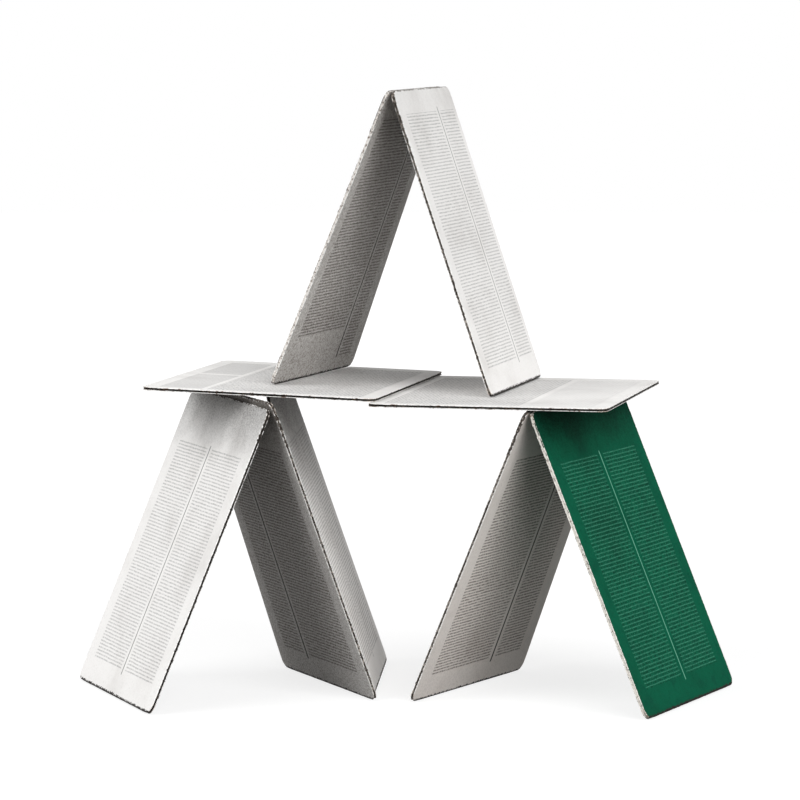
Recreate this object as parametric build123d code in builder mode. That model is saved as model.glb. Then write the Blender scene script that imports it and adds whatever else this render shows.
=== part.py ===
from build123d import *
import os
from math import acos, atan2, cos, degrees, hypot, radians, sin

os.makedirs("parts", exist_ok=True)

# House of nine cards of one size: two leaning pairs and a brace carry two deck cards,
# and a third pair stands on the deck. Lengths in mm, angles in degrees.
# A turn is the heading of a ridge seen from above, from +Y towards +X.
# A lean is how far a card stands off the vertical.

# One card
card_width = 76.2
card_length = 101.6
card_thickness = 1.1
corner_radius = 3.2
edge_wear = 0.2  # arris worn off all round both faces
foot_wear = 0.15  # depth of the flat worn on the edge that a card stands on
seat_gap = 0.1  # clearance wherever one card touches the next

# Lower pairs
left_turn = -21.0
right_turn = 25.0
right_lean = 22.9
inner_feet_across = 10.8  # between the near corners of the two inner feet
inner_feet_step = -2.8
left_top_slip = 2.0  # outer card's top edge below the inner card's top edge
deck_slack = 0.4  # left ridge stays this far under the tilted deck card
left_inner_warp = -3.0  # how far the foot turns away from the top edge
right_inner_warp = 4.0

# Brace behind the left pair
brace_turn = 3.0
brace_lean = 19.2
brace_set_back = 8.0  # behind the near edge of the card it stands beside

# Deck
deck_turn = 12.9
deck_left_overhang = 51.0  # right deck card's left edge to the right ridge
deck_near_overhang = 0.5  # right deck card's near edge to the right ridge
deck_lap = 2.0  # left deck card lies this far over the right one
deck_step = 3.5  # left deck card lies this far behind the right one

# Upper pair
top_turn = 14.0
top_left_lean = 22.4
top_ridge_inset = 24.0  # behind the near edge of the left deck card
top_ridge_shift = -0.9  # right of the joint between the deck cards
top_left_warp = 5.0

up = Vector(0, 0, 1)


def along(turn):
    """Level direction of a ridge, from its near end to its far end."""
    return Vector(sin(radians(turn)), cos(radians(turn)), 0)


def across(turn):
    """Level direction square to a ridge, towards the right."""
    return Vector(cos(radians(turn)), -sin(radians(turn)), 0)


def reach(lean):
    """Level distance between the foot and the top of a leaning card."""
    return card_length * sin(radians(lean))


def top_edge(near_foot, turn, lean, side):
    """Near end of the highest edge; side is 1 for a card that leans right."""
    slope = up * cos(radians(lean)) + across(turn) * (side * sin(radians(lean)))
    outward = up * sin(radians(lean)) - across(turn) * (side * cos(radians(lean)))
    return near_foot + slope * card_length + outward * card_thickness


def lean_to_meet(height, climb):
    """Lean that brings the highest edge to a plane this high above the foot.

    The plane climbs by this much per unit in the way that the card leans.
    """
    rise = card_length + card_thickness * climb
    run = card_thickness - card_length * climb
    return degrees(atan2(run, rise) + acos(height / hypot(rise, run)))


def card_slope(turn, lean, side):
    """Direction from the foot to the top of a card; side is 1 if it leans right."""
    return up * cos(radians(lean)) + across(turn) * (side * sin(radians(lean)))


def flat_card(corner, width_way, length_way):
    """Flat card from one corner of the face that it stands or lies on."""
    with BuildPart() as card:
        with BuildSketch(Plane(corner, width_way, width_way.cross(length_way))):
            with Locations((card_width / 2, card_length / 2)):
                RectangleRounded(card_width, card_length, corner_radius)
        extrude(amount=card_thickness)
        chamfer(card.faces().sort_by(SortBy.AREA)[-2:].edges(), edge_wear)
    return card


def outer_card(near_foot, turn, lean, side, floor):
    """Flat card of a pair, standing on a floor plane with its worn foot."""
    foot = near_foot - up * foot_wear
    slope = card_slope(turn, lean, side)
    if side == 1:
        foot = foot + along(turn) * card_width
    card = flat_card(foot, along(turn) * -side, slope)
    with card:
        split(bisect_by=floor, keep=Keep.TOP)
    return card


def inner_card(near_foot, turn, warp, lean, side, floor):
    """Slightly warped card of a pair: its foot turns away from its top edge."""
    foot = near_foot - up * foot_wear
    slope = card_slope(turn, lean, side)
    with BuildPart() as card:
        for corner, way in (
            (foot, along(turn + warp)),
            (foot + slope * card_length, along(turn)),
        ):
            outward = way.cross(slope).normalized() * -side
            with BuildSketch(Plane(corner, way, way.cross(outward))):
                Rectangle(card_width, card_thickness, align=(Align.MIN, Align.MIN))
        loft(ruled=True)
        fillet(card.edges().sort_by(SortBy.LENGTH)[:4], corner_radius)
        fillet(card.faces().sort_by(SortBy.AREA)[-2:].edges(), edge_wear)
        split(bisect_by=floor, keep=Keep.TOP)
    return card


# Right pair: both tops meet above the middle of their feet
right_inner_foot = Vector(inner_feet_across, inner_feet_step, 0)
right_ridge = right_inner_foot + across(right_turn) * (reach(right_lean) + seat_gap / 2)
right_outer_foot = right_ridge + across(right_turn) * (reach(right_lean) + seat_gap / 2)

# Right deck card: level, on the highest edges of the right pair
right_top = top_edge(right_inner_foot, right_turn, right_lean, 1)
deck_height = right_top.Z - foot_wear + seat_gap
deck_right_corner = (
    Vector(right_ridge.X, right_ridge.Y, deck_height)
    - across(deck_turn) * deck_left_overhang
    - along(deck_turn) * deck_near_overhang
)
deck_right_top = deck_height + card_thickness

# Left deck card: its right edge lies on the other, and the brace lifts it
joint = (
    Vector(deck_right_corner.X, deck_right_corner.Y, deck_right_top + seat_gap)
    + across(deck_turn) * deck_lap
    + along(deck_turn) * deck_step
)
horizontal_thickness = card_thickness / cos(radians(brace_lean))
brace_foot = along(left_turn) * brace_set_back + across(left_turn) * (
    horizontal_thickness + seat_gap
)
brace_top = top_edge(brace_foot, brace_turn, brace_lean, -1)
brace_contact = brace_top + along(brace_turn) * corner_radius
deck_climb = (brace_contact.Z - foot_wear + seat_gap - joint.Z) / (
    joint - brace_contact
).dot(across(deck_turn))
deck_normal = (up + across(deck_turn) * deck_climb).normalized()
deck_slope = (across(deck_turn) - up * deck_climb).normalized()
deck_left_corner = joint - deck_slope * card_width

# Left pair: the inner card reaches up to the deck, the outer leans on it
left_inner_foot = Vector(0, 0, 0)
turned = across(left_turn).dot(across(deck_turn))
deck_above_foot = joint.Z + deck_climb * (joint - left_inner_foot).dot(across(deck_turn))
left_inner_lean = lean_to_meet(
    deck_above_foot - deck_slack + foot_wear, deck_climb * turned
)
inner_share = 1 - left_top_slip / card_length
left_outer_lean = degrees(acos(inner_share * cos(radians(left_inner_lean))))
left_ridge = left_inner_foot - across(left_turn) * (inner_share * reach(left_inner_lean))
left_outer_foot = left_ridge - across(left_turn) * (reach(left_outer_lean) + seat_gap)

# Upper pair: one foot on each deck card, both tops at one height
top_ridge = (
    joint
    + across(deck_turn) * top_ridge_shift
    + along(deck_turn) * top_ridge_inset
)
top_left_foot = top_ridge - across(top_turn) * (reach(top_left_lean) + seat_gap / 2)
deck_left_top = (
    joint.Z
    + (card_thickness + seat_gap) / deck_normal.Z
    + deck_climb * (joint - top_left_foot).dot(across(deck_turn))
)
top_left_foot = Vector(top_left_foot.X, top_left_foot.Y, deck_left_top)
top_height = deck_left_top + card_length * cos(radians(top_left_lean))
top_right_height = deck_right_top + seat_gap
top_right_lean = degrees(acos((top_height - top_right_height) / card_length))
top_right_foot = top_ridge + across(top_turn) * (reach(top_right_lean) + seat_gap / 2)
top_right_foot = Vector(top_right_foot.X, top_right_foot.Y, top_right_height)

ground = Plane.XY
deck_left_surface = Plane(top_left_foot, x_dir=deck_slope, z_dir=deck_normal)
deck_right_surface = Plane.XY.offset(top_right_height)

left_outer_card = outer_card(left_outer_foot, left_turn, left_outer_lean, 1, ground)
left_inner_card = inner_card(
    left_inner_foot, left_turn, left_inner_warp, left_inner_lean, -1, ground
)
brace_card = outer_card(brace_foot, brace_turn, brace_lean, -1, ground)
right_inner_card = inner_card(
    right_inner_foot, right_turn, right_inner_warp, right_lean, 1, ground
)
right_green_card = outer_card(right_outer_foot, right_turn, right_lean, -1, ground)
deck_left_card = flat_card(deck_left_corner, deck_slope, along(deck_turn))
deck_right_card = flat_card(deck_right_corner, across(deck_turn), along(deck_turn))
top_left_card = inner_card(
    top_left_foot, top_turn, top_left_warp, top_left_lean, 1, deck_left_surface
)
top_right_card = outer_card(
    top_right_foot, top_turn, top_right_lean, -1, deck_right_surface
)

# The origin goes to the middle of the house's footprint, on the ground
cards = [
    left_outer_card,
    left_inner_card,
    brace_card,
    right_inner_card,
    right_green_card,
    deck_left_card,
    deck_right_card,
    top_left_card,
    top_right_card,
]
boxes = [card.part.bounding_box() for card in cards]
middle_x = (min(box.min.X for box in boxes) + max(box.max.X for box in boxes)) / 2
middle_y = (min(box.min.Y for box in boxes) + max(box.max.Y for box in boxes)) / 2
for card in cards:
    card.part = card.part.moved(Location((-middle_x, -middle_y, 0)))

left_outer_card.part.label = "left_outer_card"
left_inner_card.part.label = "left_inner_card"
brace_card.part.label = "brace_card"
right_inner_card.part.label = "right_inner_card"
right_green_card.part.label = "right_green_card"
deck_left_card.part.label = "deck_left_card"
deck_right_card.part.label = "deck_right_card"
top_left_card.part.label = "top_left_card"
top_right_card.part.label = "top_right_card"

export_step(left_outer_card.part, "parts/left_outer_card.step")
export_step(left_inner_card.part, "parts/left_inner_card.step")
export_step(brace_card.part, "parts/brace_card.step")
export_step(right_inner_card.part, "parts/right_inner_card.step")
export_step(right_green_card.part, "parts/right_green_card.step")
export_step(deck_left_card.part, "parts/deck_left_card.step")
export_step(deck_right_card.part, "parts/deck_right_card.step")
export_step(top_left_card.part, "parts/top_left_card.step")
export_step(top_right_card.part, "parts/top_right_card.step")
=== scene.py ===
import bpy
import bmesh
import math
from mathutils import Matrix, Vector, noise


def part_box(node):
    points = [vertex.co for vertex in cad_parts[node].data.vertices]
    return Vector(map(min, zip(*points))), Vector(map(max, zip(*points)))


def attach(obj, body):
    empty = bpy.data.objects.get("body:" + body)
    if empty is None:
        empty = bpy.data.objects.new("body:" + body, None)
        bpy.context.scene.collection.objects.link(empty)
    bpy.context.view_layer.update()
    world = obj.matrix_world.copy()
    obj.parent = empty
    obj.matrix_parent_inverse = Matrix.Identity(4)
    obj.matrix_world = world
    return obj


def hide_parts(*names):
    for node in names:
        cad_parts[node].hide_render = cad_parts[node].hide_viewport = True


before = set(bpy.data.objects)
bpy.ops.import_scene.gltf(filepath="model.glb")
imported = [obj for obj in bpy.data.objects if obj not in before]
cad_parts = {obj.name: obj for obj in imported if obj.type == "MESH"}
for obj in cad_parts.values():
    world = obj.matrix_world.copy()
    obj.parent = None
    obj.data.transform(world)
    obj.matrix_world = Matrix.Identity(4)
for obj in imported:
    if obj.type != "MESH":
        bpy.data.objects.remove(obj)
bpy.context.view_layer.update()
print("frame loaded")

mm = 0.001

# one card, in mm
cardCut = {
    "width": 76.2,
    "length": 101.6,
    "thickness": 1.1,
    "cornerRadius": 3.2,
    "edgeWear": 0.2,        # arris worn off both faces
    "footWear": 0.15,       # depth of the flat worn on the standing edge
    "cells": (16, 21),      # grid of each face
    "cellSteps": 8,         # outline points along one cell
    "cornerSteps": 14,      # outline points round one corner
    "gridInset": 4.2,       # from the card's edge to the grid
    "leastRadius": 0.02,    # of the inner rings' corners
}

# headings of the ridges in degrees from +Y towards +X; side is 1 for a card that
# leans right; a warped card's foot turns away from its top edge; a lean that
# isn't given is read off the frame
leaning = {
    "left_outer_card": {"heading": -21.0, "side": 1},
    "left_inner_card": {"heading": -21.0, "side": -1, "warp": -3.0},
    "brace_card": {"heading": 3.0, "side": -1, "lean": 19.2},
    "right_inner_card": {"heading": 25.0, "side": 1, "warp": 4.0, "lean": 22.9},
    "right_green_card": {"heading": 25.0, "side": -1, "lean": 22.9},
    "top_left_card": {"heading": 14.0, "side": 1, "warp": 5.0, "lean": 22.4, "on": "deck_left_card"},
    "top_right_card": {"heading": 14.0, "side": -1, "on": "deck_right_card"},
}
deckHeading = 12.9
levelSlack = 0.01           # mm; a deck card no higher than this over its thickness is level

up = Vector((0, 0, 1))


def ridgeWay(heading):
    a = math.radians(heading)
    return Vector((math.sin(a), math.cos(a), 0))


def sideWay(heading):
    a = math.radians(heading)
    return Vector((math.cos(a), -math.sin(a), 0))


def frameSpots(node):
    # the CAD node's own points, in mm
    return [v.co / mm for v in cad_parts[node].data.vertices]


def frameHeight(node):
    low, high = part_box(node)
    return (high[2] - low[2]) / mm


def leanOf(node):
    # lean that gives the card the height it has in the frame
    if "lean" in leaning[node]:
        return math.radians(leaning[node]["lean"])
    rise, run = cardCut["length"], cardCut["thickness"] - cardCut["edgeWear"]
    height = frameHeight(node) + cardCut["footWear"]
    return math.atan2(run, rise) + math.acos(height / math.hypot(rise, run))


def liftOf(node):
    # how far a deck card's left side is raised
    run, rise = cardCut["width"] - 2 * cardCut["edgeWear"], cardCut["thickness"]
    if frameHeight(node) <= rise + levelSlack:
        return 0.0
    return math.asin(frameHeight(node) / math.hypot(rise, run)) - math.atan2(rise, run)


def deckNormal(lift):
    return sideWay(deckHeading) * math.sin(lift) + up * math.cos(lift)


def leaningPlace(node):
    # from card coordinates in mm to the frame in metres: a from the near edge,
    # b from the foot, c from the inner face
    values = leaning[node]
    heading, side, lean = values["heading"], values["side"], leanOf(node)
    length = cardCut["length"]
    topWay = ridgeWay(heading)
    footWay = ridgeWay(heading + values.get("warp", 0.0))
    slope = up * math.cos(lean) + sideWay(heading) * (side * math.sin(lean))
    topOut, footOut = (way.cross(slope).normalized() * -side for way in (topWay, footWay))
    # the upper part is hardly warped, so the card's place is read there
    top = max(p.dot(slope) for p in frameSpots(node))
    upper = [p for p in frameSpots(node) if p.dot(slope) > top - length / 4]
    foot = (topWay * min(p.dot(topWay) for p in upper) + slope * (top - length)
            + topOut * (max(p.dot(topOut) for p in upper) - cardCut["thickness"]))

    def place(a, b, c):
        share = b / length
        across, out = footWay.lerp(topWay, share), footOut.lerp(topOut, share)
        return (foot + across * a + slope * b + out * c) * mm

    return place


def lyingPlace(node):
    # a from the left edge, b from the near edge, c from the underside
    lift = liftOf(node)
    deep, out = ridgeWay(deckHeading), deckNormal(lift)
    way = sideWay(deckHeading) * math.cos(lift) - up * math.sin(lift)
    corner = Vector((0, 0, 0))
    for axis in (way, deep, out):
        corner += axis * min(p.dot(axis) for p in frameSpots(node))

    def place(a, b, c):
        return (corner + way * a + deep * b + out * c) * mm

    return place


def standsOn(node):
    # worn foot: nothing goes below the surface that the card stands on
    normal = up
    if "on" in leaning[node]:
        normal = deckNormal(liftOf(leaning[node]["on"]))
    level = min(p.dot(normal) for p in frameSpots(node)) * mm

    def clamp(spot):
        below = level - spot.dot(normal)
        return spot + normal * below if below > 0 else spot

    return clamp


print("card places ready")


def outline(inset):
    # points round a rounded rectangle, the same count for every inset
    w, l = cardCut["width"], cardCut["length"]
    r = max(cardCut["cornerRadius"] - inset, cardCut["leastRadius"])
    x0, y0, x1, y1 = inset + r, inset + r, w - inset - r, l - inset - r
    nx, ny = (cells * cardCut["cellSteps"] for cells in cardCut["cells"])
    runs = [(x0, y0 - r, x1, y0 - r, nx), (x1 + r, y0, x1 + r, y1, ny),
            (x1, y1 + r, x0, y1 + r, nx), (x0 - r, y1, x0 - r, y0, ny)]
    centres = [(x1, y0, -90), (x1, y1, 0), (x0, y1, 90), (x0, y0, 180)]
    ring = []
    for (ax, ay, bx, by, n), (cx, cy, start) in zip(runs, centres):
        ring += [(ax + (bx - ax) * i / n, ay + (by - ay) * i / n) for i in range(n)]
        for i in range(cardCut["cornerSteps"]):
            angle = math.radians(start + 90 * i / cardCut["cornerSteps"])
            ring.append((cx + r * math.cos(angle), cy + r * math.sin(angle)))
    return ring


# rings from the face to the core: inset, depth, share of the fray, 1 on paper or 0 on the core
faceRings = [(3.0, 0.0, 0.0, 1), (1.2, 0.0, 0.0, 1), (0.45, 0.0, 0.4, 1), (0.14, 0.03, 0.8, 1),
             (0.03, 0.09, 1.0, 1), (0.0, 0.15, 1.0, 1), (0.02, 0.21, 1.0, 1), (0.15, 0.25, 1.3, 0),
             (0.10, 0.40, 1.6, 0)]
middleRing = (0.13, cardCut["thickness"] / 2, 1.5, 0)
backRings = [(inset, cardCut["thickness"] - depth, fray, paper)
             for inset, depth, fray, paper in reversed(faceRings)]
boardRings = faceRings + [middleRing] + backRings

fraying = {
    "amount": 0.14,         # how ragged the outline is
    "scale": 0.5,           # of the coarse noise, per mm
    "fineScale": 3.1,       # finer again by this
    "coarse": 1.2,          # share of the coarse noise
    "fine": 0.5,            # and of the fine one
    "ringStep": 0.35,       # how much the fray changes from ring to ring
    "seedStep": 9.7,        # and from card to card
    "knock": 0.45,          # extra rounding where a corner was knocked
    "knockReach": 7.0,      # mm from the corner
    "knockScale": 0.1,      # of the noise that makes corners differ
    "knockSeedStep": 3.3,
    "knockLeast": 0.5,      # share of the knock that every corner has
    "knockRagged": 0.4,     # share of a knock that isn't ragged
    "wearShare": 0.5,       # how far the wear on the paper follows the fray
}


def frayAt(x, y, level, seed):
    # how far the rim is worn back here, in mm; corners were knocked most
    f, w, l = fraying, cardCut["width"], cardCut["length"]
    p = Vector((x * f["scale"], y * f["scale"], level * f["ringStep"] + seed * f["seedStep"]))
    ragged = f["coarse"] * abs(noise.noise(p)) + f["fine"] * abs(noise.noise(p * f["fineScale"]))
    corner = min(math.hypot(x - cx, y - cy) for cx in (0, w) for cy in (0, l))
    knock = max(0.0, 1 - corner / f["knockReach"]) * f["knock"]
    p = Vector((x * f["knockScale"], y * f["knockScale"], seed * f["knockSeedStep"]))
    knock *= f["knockLeast"] + abs(noise.noise(p))
    return f["amount"] * ragged + knock * (f["knockRagged"] + ragged)


def rimSpots(seed):
    # x, y and depth of each rim point, its inset for the wear, and whether it is paper
    w, l, reach = cardCut["width"], cardCut["length"], cardCut["cornerRadius"]
    base = outline(0)
    spots = []
    for level, (inset, depth, fray, paper) in enumerate(boardRings):
        for (x, y), (bx, by) in zip(outline(inset), base):
            move = fray * frayAt(bx, by, level, seed) if fray else 0
            nx = max(0.0, 1 - min(bx, w - bx) / reach)
            ny = max(0.0, 1 - min(by, l - by) / reach)
            n = math.hypot(nx, ny) or 1
            x += math.copysign(nx / n, w / 2 - x) * move
            y += math.copysign(ny / n, l / 2 - y) * move
            spots.append((x, y, depth, inset + move * fraying["wearShare"], paper))
    return spots


def rimFaces(count):
    faces = []
    for level in range(len(boardRings) - 1):
        row, above = level * count, (level + 1) * count
        faces += [(row + i, row + (i + 1) % count, above + (i + 1) % count, above + i)
                  for i in range(count)]
    return faces


def gridSpots(depth):
    # a plain grid over one face
    w, l, margin = cardCut["width"], cardCut["length"], cardCut["gridInset"]
    nx, ny = cardCut["cells"]
    return [(margin + (w - 2 * margin) * i / nx, margin + (l - 2 * margin) * j / ny, depth, margin, 1)
            for j in range(ny + 1) for i in range(nx + 1)]


def gridFaces(start, ring, count):
    # the grid's own cells, then what joins its sides and corners to the innermost ring
    nx, ny = cardCut["cells"]
    steps, corner = cardCut["cellSteps"], cardCut["cornerSteps"]

    def spot(i, j):
        return start + j * (nx + 1) + i

    faces = [(spot(i, j), spot(i + 1, j), spot(i + 1, j + 1), spot(i, j + 1))
             for j in range(ny) for i in range(nx)]
    sides = [[spot(i, 0) for i in range(nx + 1)], [spot(nx, j) for j in range(ny + 1)],
             [spot(nx - i, ny) for i in range(nx + 1)], [spot(0, ny - j) for j in range(ny + 1)]]
    at = 0
    for side in sides:
        for c in range(len(side) - 1):
            rim = [ring + at + k for k in range(steps + 1)]
            faces.append(tuple(rim + [side[c + 1], side[c]]))
            at += steps
        for k in range(corner):
            faces.append((ring + at + k, ring + (at + k + 1) % count, side[-1]))
        at += corner
    return faces


def cardMesh(name, place, seed, keepAbove=None):
    # a board with two facing papers and a slightly recessed core
    spots = rimSpots(seed)
    count = len(outline(0))
    faces = rimFaces(count)
    for level in (0, len(boardRings) - 1):
        faces += gridFaces(len(spots), level * count, count)
        spots += gridSpots(boardRings[level][1])
    verts = [place(x, y, depth) for x, y, depth, inset, paper in spots]
    if keepAbove:
        verts = [keepAbove(v) for v in verts]
    mesh = bpy.data.meshes.new(name)
    mesh.from_pydata([tuple(v) for v in verts], [], faces)
    cardSpot = mesh.attributes.new("cardSpot", "FLOAT_VECTOR", "POINT")
    cardEdge = mesh.attributes.new("cardEdge", "FLOAT_VECTOR", "POINT")
    for i, (x, y, depth, inset, paper) in enumerate(spots):
        cardSpot.data[i].vector = (x, y, depth)
        cardEdge.data[i].vector = (inset, paper, depth)
    build = bmesh.new()
    build.from_mesh(mesh)
    bmesh.ops.recalc_face_normals(build, faces=build.faces)
    for face in build.faces:
        face.smooth = True
    build.to_mesh(mesh)
    build.free()
    return mesh


print("card shapes ready")


class nodeDesk:
    # short calls for the nodes of a material or a world
    def __init__(self, owner):
        owner.use_nodes = True
        self.tree = owner.node_tree
        self.tree.nodes.clear()

    def add(self, kind, **settings):
        node = self.tree.nodes.new(kind)
        for key, value in settings.items():
            setattr(node, key, value)
        return node

    def feed(self, socket, value):
        if isinstance(value, bpy.types.NodeSocket):
            self.tree.links.new(value, socket)
        else:
            socket.default_value = value

    def calc(self, operation, *values, clamp=False):
        node = self.add("ShaderNodeMath", operation=operation, use_clamp=clamp)
        for socket, value in zip(node.inputs, values):
            self.feed(socket, value)
        return node.outputs[0]

    def times(self, a, b, clamp=False):
        return self.calc("MULTIPLY", a, b, clamp=clamp)

    def scaled(self, value, factor, base):
        return self.calc("MULTIPLY_ADD", value, factor, base)

    def opposite(self, value):
        return self.calc("SUBTRACT", 1.0, value)

    def step(self, value, low, high):
        # 0 below low, 1 above high, smooth between
        node = self.add("ShaderNodeMapRange", interpolation_type="SMOOTHSTEP", clamp=True)
        self.feed(node.inputs["Value"], value)
        self.feed(node.inputs["From Min"], low)
        self.feed(node.inputs["From Max"], high)
        return node.outputs["Result"]

    def between(self, value, low, high, soft):
        return self.times(self.step(value, low - soft, low + soft),
                          self.opposite(self.step(value, high - soft, high + soft)))

    def stripes(self, row, low, high):
        # 1 along the middle of each row, fading out from low to high, in shares of the pitch
        wave = self.calc("ABSOLUTE", self.calc("SUBTRACT", self.calc("FRACT", row), 0.5))
        return self.opposite(self.step(wave, low, high))

    def noise(self, vector, scale, detail=3.0, rough=0.55, stretch=None):
        if stretch:
            mapping = self.add("ShaderNodeMapping")
            mapping.inputs["Scale"].default_value = stretch
            self.feed(mapping.inputs["Vector"], vector)
            vector = mapping.outputs[0]
        node = self.add("ShaderNodeTexNoise")
        self.feed(node.inputs["Vector"], vector)
        node.inputs["Scale"].default_value = scale
        node.inputs["Detail"].default_value = detail
        node.inputs["Roughness"].default_value = rough
        return node.outputs["Fac"]

    def mix(self, factor, a, b, blend="MIX"):
        node = self.add("ShaderNodeMix", data_type="RGBA", blend_type=blend)
        self.feed(node.inputs["Factor"], factor)
        # of this node's sockets, inputs 6 and 7 and output 2 are the colours
        for socket, value in ((node.inputs[6], a), (node.inputs[7], b)):
            self.feed(socket, value if isinstance(value, bpy.types.NodeSocket) else (*value, 1))
        return node.outputs[2]

    def join(self, kind, *parts):
        # a node whose inputs are these, in order, such as a mix of two shaders
        node = self.add(kind)
        for socket, part in zip(node.inputs, parts):
            self.feed(socket, part)
        return node.outputs[0]

    def show(self, kind, result):
        self.feed(self.add(kind).inputs["Surface"], result)

    def seenRays(self):
        # 1 for what the camera sees, also in a gloss or through glass
        path = self.add("ShaderNodeLightPath")
        indirect = self.calc("MAXIMUM", path.outputs["Is Glossy Ray"], path.outputs["Is Transmission Ray"])
        return self.calc("MAXIMUM", path.outputs["Is Camera Ray"], indirect)


# noises on a card: scale per mm, detail, roughness and stretch
grains = {
    "letters": (1.0, 2.0, 0.6, (1.3, 0.9, 1)),
    "dashes": (1.0, 2.0, 0.6, (1.1, 0.5, 1)),
    "waver": (0.22,),
    "fibre": (1.7, 5.0, 0.75),
    "cloud": (0.045, 4.0, 0.6),
    "speck": (1.1, 3.0, 0.75),
    "chips": (0.9, 3.0, 0.6),
    "dots": (2.1, 2.0, 0.6),
    "blots": (0.16, 5.0, 0.7),
}
seedStep = (31.0, 17.0, 7.0)    # mm between the parts of a noise that two cards use


class cardDesk(nodeDesk):
    # a desk that knows a card's own coordinates, in mm, and its noises
    def __init__(self, material, seed):
        super().__init__(material)
        spot = self.add("ShaderNodeAttribute", attribute_name="cardSpot").outputs["Vector"]
        edge = self.add("ShaderNodeAttribute", attribute_name="cardEdge").outputs["Vector"]
        self.x, self.y = self.apart(spot)[:2]
        self.inset, self.paper, self.depth = self.apart(edge)
        offset = self.add("ShaderNodeVectorMath", operation="ADD")
        self.feed(offset.inputs[0], spot)
        offset.inputs[1].default_value = tuple(seed * step for step in seedStep)
        self.here = offset.outputs[0]
        self.made = {}

    def apart(self, vector):
        node = self.add("ShaderNodeSeparateXYZ")
        self.feed(node.inputs[0], vector)
        return list(node.outputs)

    def grain(self, name):
        # each noise is made once, when it is first used
        if name not in self.made:
            self.made[name] = self.noise(self.here, *grains[name])
        return self.made[name]

    def patches(self, name, low, high, strength=None):
        patches = self.step(self.grain(name), low, high)
        return self.times(patches, strength) if strength else patches

    def innerFace(self):
        return self.calc("LESS_THAN", self.depth, cardCut["thickness"] / 2)

    def panel(self, left, right, low, high, soft):
        # 1 inside a rectangle on the card; soft is its blur, across and along
        return self.times(self.between(self.x, left, right, soft[0]),
                          self.between(self.y, low, high, soft[1]))


# the print on a leaning card, in mm; the rows run across the width
printing = {
    "rowFrom": 8.7,         # first row above the foot, near column
    "farRowFrom": 8.7,      # and far column
    "rowTo": 84.3,
    "ruleFrom": 7.2,        # the rule between the columns
    "ruleTo": 85.2,
    "ruleAt": 0.5,          # share of the width, from the near edge
    "margin": 7.6,          # from the near edge to its column
    "farMargin": 7.6,       # and from the far edge
    "gutter": 2.3,          # from the rule to each column
    "ruleWidth": 0.55,
    "waver": 0.4,           # how far a row strays
    "strokeBlur": 0.09,     # share of the pitch
    "letters": (0.38, 0.58),    # noise that a row shows through
    "rowFloor": 0.38,       # how strong a row stays where it is broken
    "outerPrint": 0.62,     # print on the outer face, against 1 on the inner one
    "columnSoft": (0.12, 0.1),  # blur of the columns' sides, across and along
    "ruleSoft": (0.12, 0.15),
}
# the green card has dark dashes between its pale rows, and a haze of dots over both
greenPrinting = {
    "dashStroke": (0.12, 0.28),
    "dashes": (0.44, 0.56),
    "dashStrength": 0.7,
    "dots": (0.52, 0.64, 0.30),     # the last is how strong the haze is
}
# the print on a deck card, in mm; the rows run in the depth
deckPrinting = {
    "side": 5.0,            # blank margins
    "near": 4.0,
    "far": 8.0,
    "soft": (0.25, 0.25),
    "gutterWidth": 1.9,
    "gutterSoft": 0.3,
    "crossWidth": 3.04,
    "crossSoft": 0.5,
    "pitch": 1.2,
    "stroke": (0.12, 0.34),
    "letters": (0.40, 0.56),
    "contrast": 0.56,       # how far rows stand out from the grey
    "fineContrast": 0.25,   # and how far they still do where the print is finer
}


def columnInk(desk, look, own):
    # two columns of fine broken rows and a rule between them
    p = {**printing, **own}
    width, middle, blur = cardCut["width"], cardCut["width"] * p["ruleAt"], p["strokeBlur"]
    waver = desk.times(desk.calc("SUBTRACT", desk.grain("waver"), 0.5), p["waver"])
    row = desk.calc("DIVIDE", desk.calc("ADD", desk.y, waver), look["pitch"])
    rows = desk.stripes(row, look["stroke"] - blur, look["stroke"] + blur)
    broken = desk.patches("letters", *p["letters"])
    rows = desk.times(rows, desk.scaled(broken, 1 - p["rowFloor"], p["rowFloor"]))
    near = desk.panel(p["margin"], middle - p["gutter"], p["rowFrom"], p["rowTo"], p["columnSoft"])
    far = desk.panel(middle + p["gutter"], width - p["farMargin"], p["farRowFrom"], p["rowTo"],
                     p["columnSoft"])
    block = desk.calc("MAXIMUM", near, far)
    rows = desk.times(rows, block)
    half = p["ruleWidth"] / 2
    ink = {"rule": desk.panel(middle - half, middle + half, p["ruleFrom"], p["ruleTo"], p["ruleSoft"])}
    if "dash" in look:
        gaps = desk.stripes(desk.calc("ADD", row, 0.5), *greenPrinting["dashStroke"])
        dashes = desk.times(gaps, desk.patches("dashes", *greenPrinting["dashes"]))
        ink["dashes"] = desk.times(desk.times(dashes, block), greenPrinting["dashStrength"])
        dots = desk.patches("dots", *greenPrinting["dots"])
        rows = desk.calc("MAXIMUM", rows, desk.times(dots, block))
    ink["rows"] = desk.times(rows, desk.scaled(desk.innerFace(), 1 - p["outerPrint"], p["outerPrint"]))
    return ink


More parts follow.
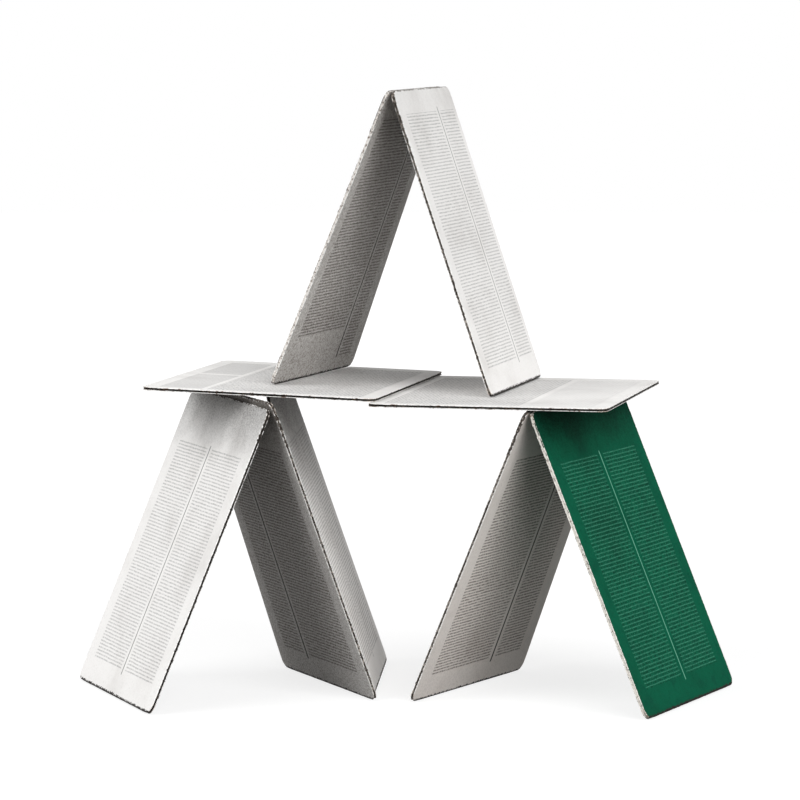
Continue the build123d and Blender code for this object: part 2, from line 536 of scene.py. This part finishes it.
def deckInk(desk, own):
    # grey blocks of small print, parted by one light gutter
    p = deckPrinting
    gutter, half = own["gutter"], p["gutterWidth"] / 2
    block = desk.panel(p["side"], cardCut["width"] - p["side"], p["near"], cardCut["length"] - p["far"],
                       p["soft"])
    parting = desk.between(desk.x, gutter - half, gutter + half, p["gutterSoft"])
    block = desk.times(block, desk.opposite(parting))
    if "cross" in own:
        # a second gutter across the left block
        half = p["crossWidth"] / 2
        cross = desk.between(desk.y, own["cross"] - half, own["cross"] + half, p["crossSoft"])
        cross = desk.times(cross, desk.calc("LESS_THAN", desk.x, gutter))
        block = desk.times(block, desk.opposite(cross))
    rows = desk.stripes(desk.calc("DIVIDE", desk.x, p["pitch"]), *p["stroke"])
    rows = desk.times(rows, desk.patches("letters", *p["letters"]))
    # the blocks' grey is print; on the left deck card it is set darker, partly as painted shade of the
    # upper pair
    rows = desk.scaled(rows, p["contrast"], own["tone"])
    # one side of the gutter is printed finer, and looks flat grey
    fine = desk.calc("LESS_THAN" if own["fineSide"] == "left" else "GREATER_THAN", desk.x, gutter)
    flat = desk.scaled(rows, p["fineContrast"], own["fineTone"])
    rows = desk.calc("ADD", desk.times(rows, desk.opposite(fine)), desk.times(flat, fine))
    return {"rows": desk.times(rows, block)}


# ink darkens white board, and lies pale on green; dim is the colour of the painted shade on inner faces
finishes = {
    "plain": {
        "paper": (0.88, 0.868, 0.852), "stain": (0.70, 0.68, 0.66), "dim": (0.128, 0.104, 0.082),
        "ink": (0.36, 0.36, 0.365), "inkStrength": 1.0, "blend": "MULTIPLY",
        "rule": (0.12, 0.12, 0.12), "pitch": 1.07, "stroke": 0.22, "sheen": 0.12,
        "edge": (0.93, 0.92, 0.90), "chip": (0.055, 0.045, 0.038), "rub": 0.25,
        "core": (0.012, 0.010, 0.009), "coreSpeck": (0.10, 0.08, 0.065), "coreGrain": 0.54,
    },
    "green": {
        "paper": (0.0015, 0.094, 0.048), "stain": (0.0008, 0.055, 0.028), "dim": (0.002, 0.02, 0.012),
        "ink": (0.085, 0.33, 0.22), "inkStrength": 1.05, "blend": "MIX",
        "dash": (0.0005, 0.030, 0.016), "blot": (0.001, 0.055, 0.032),
        "rule": (0.13, 0.38, 0.27), "pitch": 1.25, "stroke": 0.085, "sheen": 0.03,
        "edge": (0.80, 0.78, 0.73), "chip": (0.02, 0.04, 0.03), "rub": 0.42,
        "core": (0.60, 0.575, 0.53), "coreSpeck": (0.13, 0.09, 0.065), "coreGrain": 0.53,
    },
    "deck": {
        "paper": (0.80, 0.79, 0.775), "stain": (0.66, 0.645, 0.63),
        "ink": (0.33, 0.33, 0.335), "inkStrength": 0.95, "blend": "MULTIPLY", "sheen": 0.12,
        "edge": (0.93, 0.92, 0.90), "chip": (0.16, 0.10, 0.065), "rub": 0.25,
        "core": (0.008, 0.007, 0.006), "coreSpeck": (0.07, 0.045, 0.03), "coreGrain": 0.54,
    },
}
# what single cards have otherwise
paleCore = {"core": (0.62, 0.595, 0.565), "coreSpeck": (0.11, 0.08, 0.06), "coreGrain": 0.49}
rubbedCore = {"core": (0.03, 0.024, 0.02), "coreSpeck": (0.34, 0.305, 0.27), "coreGrain": 0.50}
boldPrint = {"stroke": 0.26, "ink": (0.32, 0.30, 0.285), "rule": (0.05, 0.046, 0.042)}
warmPaper = {"paper": (0.90, 0.835, 0.79), "stain": (0.70, 0.635, 0.59)}

# where a noise starts to mark the paper, where it marks it in full, and how strongly
marks = {
    "cloud": (0.40, 0.85),
    "speck": (0.50, 0.72, 0.42),
    "fibre": (0.52, 0.75, 0.38),
    "blots": (0.48, 0.68, 0.55),
    "fibreShade": 0.66,     # of the stain's colour
}

# painted shade of the deck near the ridge, and greying towards the foot, of a leaning card, in mm above
# its foot; painted shade on its inner face
shadingAndGreying = {
    "drift": 14.0,          # how far clouds move it; added to the height
    "ridge": (84.0, 110.0),     # painted shade of the deck: none below the first, full above the second
    "foot": (6.0, 44.0),    # full below the first, none above the second
    "shade": 0.12,          # of the stain's colour
    "rough": (0.38, 0.66),  # fibres that make it patchy
    "ridgePatches": (0.5, 0.72),    # grey that goes with the fibres, and grey all over
    "innerShadePatches": (0.95, 0.52),
}

# wear at the card's edge, in mm
wear = {
    "ragged": 1.1,          # how uneven the rubbed rim is
    "rimBlur": 0.15,
    "soil": (0.45, 0.65),   # fibres that are soiled
    "soilShade": 0.55,      # of the rim's colour
    "tip": (3.0, 22.0),     # square of the distance from a corner; rubbed brown inside it
    "tipSpeck": (0.42, 0.56),
    "tipColour": (0.30, 0.19, 0.11),
    "ridge": (80.0, 99.0),  # from here up, chips are more and go deeper
    "chipDepth": -0.66,     # how much less the inset counts against a chip there
    "chipMore": 0.12,
    "chips": (0.50, 0.58),
    "footShadowAndSoil": (0.65, 0.90),   # above the foot; painted contact shadow and soil below it
    "footShadowAndSoilRagged": 2.4,
    "footShadowAndSoilColour": (0.022, 0.019, 0.017),
}

# unevenness of ink, core and surface
surface = {
    "inkSpread": 0.7,       # how much the ink's strength varies
    "coreBlur": 0.14,       # how gradually the core's specks start
    "paperEdge": (0.35, 0.65),  # between the core, 0, and the facing paper, 1
    "bump": 0.25,
    "bumpDepth": 0.00006,   # metres
    "inkPress": 0.35,       # how deep ink lies, against the fibres
    "rough": 0.58,
    "roughSpread": 0.25,
}


def shade(colour, share):
    return tuple(v * share for v in colour)


def agedPaper(desk, look):
    # clouds, specks and streaks, and blots on green
    stain = look["stain"]
    sheet = desk.mix(desk.patches("cloud", *marks["cloud"]), look["paper"], stain)
    sheet = desk.mix(desk.patches("speck", *marks["speck"]), sheet, stain)
    sheet = desk.mix(desk.patches("fibre", *marks["fibre"]), sheet, shade(stain, marks["fibreShade"]))
    if "blot" in look:
        sheet = desk.mix(desk.patches("blots", *marks["blots"]), sheet, look["blot"])
    return sheet


def shadedAndGreyedPaper(desk, sheet, look, own):
    # painted shade of the deck towards the ridge, greyer towards the foot, and painted shade, patchy with
    # the fibres, on the inner face
    rough = desk.patches("fibre", *shadingAndGreying["rough"])
    height = desk.scaled(desk.grain("cloud"), shadingAndGreying["drift"], desk.y)
    low, high = shadingAndGreying["ridge"]
    # painted shade of the deck near the ridge
    ridge = desk.times(desk.step(height, own.get("ridgeShadeFrom", low), high), own["ridgeShadeTone"])
    foot = desk.opposite(desk.step(height, *shadingAndGreying["foot"]))
    shadeAndGrey = desk.scaled(foot, own.get("footTone", 0.0), ridge)
    shadeAndGrey = desk.times(shadeAndGrey, desk.scaled(rough, *shadingAndGreying["ridgePatches"]), clamp=True)
    sheet = desk.mix(shadeAndGrey, sheet, shade(look["stain"], shadingAndGreying["shade"]))
    # painted shade on the inner face, patchy with the fibres
    dim = desk.times(desk.innerFace(), 1 - own["innerShadeTone"])
    dim = desk.times(dim, desk.scaled(rough, *shadingAndGreying["innerShadePatches"]), clamp=True)
    return desk.mix(dim, sheet, look["dim"])


def printedPaper(desk, sheet, look, ink):
    # ink takes better on some fibres than on others
    spread = surface["inkSpread"]
    strength = desk.scaled(desk.grain("fibre"), spread, look["inkStrength"] - spread / 2)
    rows = desk.times(ink["rows"], strength, clamp=True)
    sheet = desk.mix(rows, sheet, look["ink"], look["blend"])
    if "rule" in ink:
        sheet = desk.mix(ink["rule"], sheet, look["rule"], look["blend"])
    if "dashes" in ink:
        sheet = desk.mix(ink["dashes"], sheet, look["dash"])
    return sheet


def wornPaperAndFootShadow(desk, sheet, look, standing):
    # the rim is rubbed pale and soiled
    ragged = desk.scaled(desk.grain("speck"), wear["ragged"], -wear["ragged"] / 2)
    rim = desk.step(desk.calc("ADD", desk.inset, ragged),
                    look["rub"] - wear["rimBlur"], look["rub"] + wear["rimBlur"])
    rim = desk.opposite(rim)
    soiled = desk.patches("fibre", *wear["soil"])
    rubbed = desk.mix(soiled, look["edge"], shade(look["edge"], wear["soilShade"]))
    sheet = desk.mix(rim, sheet, rubbed)
    # corners were handled most, and are rubbed to the brown of the board
    dx = desk.calc("MINIMUM", desk.x, desk.calc("SUBTRACT", cardCut["width"], desk.x))
    dy = desk.calc("MINIMUM", desk.y, desk.calc("SUBTRACT", cardCut["length"], desk.y))
    tip = desk.step(desk.calc("ADD", desk.times(dx, dx), desk.times(dy, dy)), *wear["tip"])
    tip = desk.times(desk.opposite(tip), rim)
    tip = desk.times(tip, desk.patches("speck", *wear["tipSpeck"]))
    sheet = desk.mix(tip, sheet, wear["tipColour"])
    # chips go deeper near the ridge
    ridge = desk.step(desk.y, *wear["ridge"])
    depth = desk.times(desk.inset, desk.scaled(ridge, wear["chipDepth"], 1.0))
    chips = desk.scaled(ridge, wear["chipMore"], desk.grain("chips"))
    chips = desk.step(desk.calc("SUBTRACT", chips, depth), *wear["chips"])
    sheet = desk.mix(chips, sheet, look["chip"])
    if standing:
        # painted contact shadow, with soil, along the edge that a card stands on
        footShadowAndSoil = desk.step(desk.scaled(ragged, wear["footShadowAndSoilRagged"], desk.y), *wear["footShadowAndSoil"])
        sheet = desk.mix(desk.opposite(footShadowAndSoil), sheet, wear["footShadowAndSoilColour"])
    return sheet


def boardCore(desk, look):
    pulp = desk.patches("speck", look["coreGrain"], look["coreGrain"] + surface["coreBlur"])
    return desk.mix(pulp, look["core"], look["coreSpeck"])


def cardFinish(name, own, seed):
    material = bpy.data.materials.new(name)
    look = {**finishes[own["finish"]], **own.get("trim", {})}
    desk = cardDesk(material, seed)
    standing = own["finish"] != "deck"
    sheet = agedPaper(desk, look)
    if standing:
        sheet = shadedAndGreyedPaper(desk, sheet, look, own)
        ink = columnInk(desk, look, own)
    else:
        ink = deckInk(desk, own)
    sheet = printedPaper(desk, sheet, look, ink)
    sheet = wornPaperAndFootShadow(desk, sheet, look, standing)
    colour = desk.mix(desk.step(desk.paper, *surface["paperEdge"]), boardCore(desk, look), sheet)
    bump = desk.add("ShaderNodeBump")
    bump.inputs["Strength"].default_value = surface["bump"]
    bump.inputs["Distance"].default_value = surface["bumpDepth"]
    fibre = desk.grain("fibre")
    height = desk.calc("SUBTRACT", fibre, desk.times(ink["rows"], surface["inkPress"]))
    desk.feed(bump.inputs["Height"], height)
    shader = desk.add("ShaderNodeBsdfPrincipled")
    desk.feed(shader.inputs["Base Color"], colour)
    desk.feed(shader.inputs["Normal"], bump.outputs[0])
    desk.feed(shader.inputs["Roughness"], desk.scaled(fibre, surface["roughSpread"], surface["rough"]))
    shader.inputs["Specular IOR Level"].default_value = look["sheen"]
    desk.show("ShaderNodeOutputMaterial", shader.outputs[0])
    return material


# the inner face's tone is how light the painted shade leaves it, the ridge's tone how dark the painted
# shade of the deck makes the paper near the ridge, and footTone how grey the paper gets near the foot;
# trim changes values of the finish, and the rest changes the print: on a deck card the places of the
# gutters, in mm, and how grey the blocks are, which on the left deck card is partly painted shade of the
# upper pair
cardLooks = {
    "left_outer_card": {"finish": "plain", "innerShadeTone": 0.8, "ridgeShadeTone": 0.70},
    "left_inner_card": {"finish": "plain", "innerShadeTone": 0.48, "ridgeShadeTone": 1.0,
                        "trim": {**rubbedCore, **boldPrint}, "ruleAt": 0.65, "ruleWidth": 1.0},
    "brace_card": {"finish": "plain", "innerShadeTone": 0.8, "ridgeShadeTone": 0.9, "ridgeShadeFrom": 64.0},
    "right_inner_card": {"finish": "plain", "innerShadeTone": 0.98, "ridgeShadeTone": 0.12,
                         "footTone": 0.20, "trim": {**rubbedCore, **boldPrint, **warmPaper},
                         "ruleAt": 0.64, "ruleWidth": 0.9},
    "right_green_card": {"finish": "green", "innerShadeTone": 0.9, "ridgeShadeTone": 0.8, "ruleAt": 0.52,
                         "rowTo": 83.6, "ruleTo": 84.4},
    "top_left_card": {"finish": "plain", "innerShadeTone": 0.45, "ridgeShadeTone": 0.50, "footTone": 0.36,
                      "trim": {**paleCore, **boldPrint}, "ruleAt": 0.73, "ruleWidth": 0.9,
                      "rowFrom": 15.8, "farRowFrom": 5.6, "rowTo": 92.4, "ruleFrom": 5.0, "ruleTo": 93.0},
    "top_right_card": {"finish": "plain", "innerShadeTone": 0.8, "ridgeShadeTone": 0.10,
                       "trim": rubbedCore, "ruleAt": 0.67, "farMargin": 3.6,
                       "rowTo": 93.6, "ruleTo": 95.0},
    # the left deck card's darker blocks are partly painted shade of the upper pair
    "deck_left_card": {"finish": "deck", "gutter": 20.0, "cross": 52.0, "tone": 0.20,
                       "fineSide": "left", "fineTone": 0.22},
    "deck_right_card": {"finish": "deck", "gutter": 49.0, "tone": 0.15,
                        "fineSide": "right", "fineTone": 0.05},
}
print("card finishes ready")


def placeCard(name, seed):
    if name in leaning:
        mesh = cardMesh(name + "_board", leaningPlace(name), seed, standsOn(name))
    else:
        mesh = cardMesh(name + "_board", lyingPlace(name), seed)
    board = bpy.data.objects.new(name + "_board", mesh)
    bpy.context.collection.objects.link(board)
    mesh.materials.append(cardFinish(name + "_finish", cardLooks[name], seed))
    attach(board, "root")
    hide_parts(name)


for index, name in enumerate(cardLooks):
    placeCard(name, index + 1)
print("cards placed")

# floor and light
studio = {
    "skyStrength": 0.50,
    "floorBounce": 0.22,    # how pale the floor is to the object
    "floorShadow": 0.30,    # share of the floor's white that the lamps give
    "lampShare": 0.8,       # how bright the lamps make a white floor
    "floorGrain": (40.0, 4.0),
    "bounceSpread": 1.05,   # how much paler the floor is where its grain is palest
    "shadowSpread": 1.02,
    "floorHalf": 3.0,       # metres
    "floorDrop": 0.0002,    # metres; keeps the floor clear of the feet
    "lampSpread": 45.0,     # degrees; the wider, the softer the shadows
    # energy, and the way that the light goes
    "lamps": {"leftLamp": (1.75, (0.72, 0.45, -0.55)), "rightLamp": (2.35, (-0.40, 0.76, -0.42))},
}
white = (1, 1, 1, 1)


def floorFinish():
    # the camera sees it nearly white with a soft shadow; the cards get a dimmer bounce
    material = bpy.data.materials.new("paleFloor")
    desk = nodeDesk(material)
    share, dim = studio["floorShadow"], studio["floorBounce"]
    spot = desk.add("ShaderNodeTexCoord").outputs["Object"]
    grain = desk.noise(spot, *studio["floorGrain"])
    bounce, lit = (desk.join("ShaderNodeBsdfDiffuse", desk.mix(grain, (tone,) * 3, (tone * spread,) * 3))
                   for tone, spread in ((dim, studio["bounceSpread"]), (share, studio["shadowSpread"])))
    glow = desk.join("ShaderNodeEmission", white, 1.0 - share * studio["lampShare"])
    both = desk.join("ShaderNodeAddShader", lit, glow)
    mixed = desk.join("ShaderNodeMixShader", desk.seenRays(), bounce, both)
    desk.show("ShaderNodeOutputMaterial", mixed)
    return material


def placeFloor():
    half, drop = studio["floorHalf"], studio["floorDrop"]
    corners = [(-half, -half, -drop), (half, -half, -drop), (half, half, -drop), (-half, half, -drop)]
    mesh = bpy.data.meshes.new("floor")
    mesh.from_pydata(corners, [], [(0, 1, 2, 3)])
    mesh.materials.append(floorFinish())
    floor = bpy.data.objects.new("floor", mesh)
    bpy.context.collection.objects.link(floor)


def placeAir():
    # white behind everything, and a dimmer light on the cards
    world = bpy.data.worlds.new("studioAir")
    bpy.context.scene.world = world
    desk = nodeDesk(world)
    sky, behind = (desk.join("ShaderNodeBackground", white, strength)
                   for strength in (studio["skyStrength"], 1.0))
    mixed = desk.join("ShaderNodeMixShader", desk.seenRays(), sky, behind)
    desk.show("ShaderNodeOutputWorld", mixed)


def placeLamp(name, energy, way):
    lamp = bpy.data.lights.new(name, "SUN")
    lamp.energy = energy
    lamp.angle = math.radians(studio["lampSpread"])
    stand = bpy.data.objects.new(name, lamp)
    bpy.context.collection.objects.link(stand)
    stand.rotation_euler = Vector(way).to_track_quat("-Z", "Y").to_euler()


# the photograph's viewing angle, in metres and degrees
viewpoint = {
    "place": (-0.0016, -1.355, 0.2207),
    "pitch": 5.43,          # below the level
    "sensor": 36.0,         # mm, as is the lens
    "lens": 190.2,
    "clip": (0.05, 20),
}


def placeCamera():
    lens = bpy.data.cameras.new("camera")
    lens.sensor_width = viewpoint["sensor"]
    lens.lens = viewpoint["lens"]
    lens.clip_start, lens.clip_end = viewpoint["clip"]
    camera = bpy.data.objects.new("camera", lens)
    bpy.context.collection.objects.link(camera)
    camera.location = viewpoint["place"]
    camera.rotation_euler = (math.radians(90 - viewpoint["pitch"]), 0, 0)
    bpy.context.scene.camera = camera


placeFloor()
placeAir()
for lampName, (energy, way) in studio["lamps"].items():
    placeLamp(lampName, energy, way)
placeCamera()
bpy.context.scene.view_settings.view_transform = "Standard"
print("studio ready")
